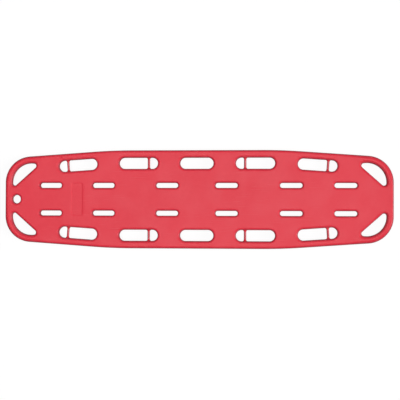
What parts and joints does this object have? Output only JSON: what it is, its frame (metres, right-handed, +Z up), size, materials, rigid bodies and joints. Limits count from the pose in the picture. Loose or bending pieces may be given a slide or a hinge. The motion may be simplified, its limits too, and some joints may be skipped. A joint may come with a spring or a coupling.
{
  "type": "spine board",
  "caption": "Long rigid board for carrying a patient flat, with handholds and strap pins along tapered sides, strap slots, corner grips, and runners underneath.",
  "frame": {"origin": "on the floor under the middle of the board, at the centre of its bounding box", "axes": "+X along the board towards the patient's feet (the round hole is at the head end, -X), +Y towards the patient's left side as they lie on their back, +Z up"},
  "size_m": [1.84, 0.465, 0.055],
  "materials": {
    "moulded_skin": "satin",
    "strap_pin": "satin",
    "foam": "matte",
    "stiffener": "satin",
    "tube_plug": "satin",
    "plug": "satin"
  },
  "bodies": {
    "root": {"deck_shell": "moulded_skin", "base_shell": "moulded_skin", "foam_core": "foam", "foam_fill_plug": "plug", "vent_plug_head": "plug", "vent_plug_foot": "plug", "strap_pin_left_1": "strap_pin", "strap_pin_left_2": "strap_pin", "strap_pin_left_3": "strap_pin", "strap_pin_left_4": "strap_pin", "strap_pin_right_1": "strap_pin", "strap_pin_right_2": "strap_pin", "strap_pin_right_3": "strap_pin", "strap_pin_right_4": "strap_pin", "tube_left_outer": "stiffener", "tube_left_inner": "stiffener", "tube_right_outer": "stiffener", "tube_right_inner": "stiffener", "tube_left_outer_plug_head": "tube_plug", "tube_left_outer_plug_foot": "tube_plug", "tube_left_inner_plug_head": "tube_plug", "tube_left_inner_plug_foot": "tube_plug", "tube_right_outer_plug_head": "tube_plug", "tube_right_outer_plug_foot": "tube_plug", "tube_right_inner_plug_head": "tube_plug", "tube_right_inner_plug_foot": "tube_plug"}
  },
  "joints": []
}
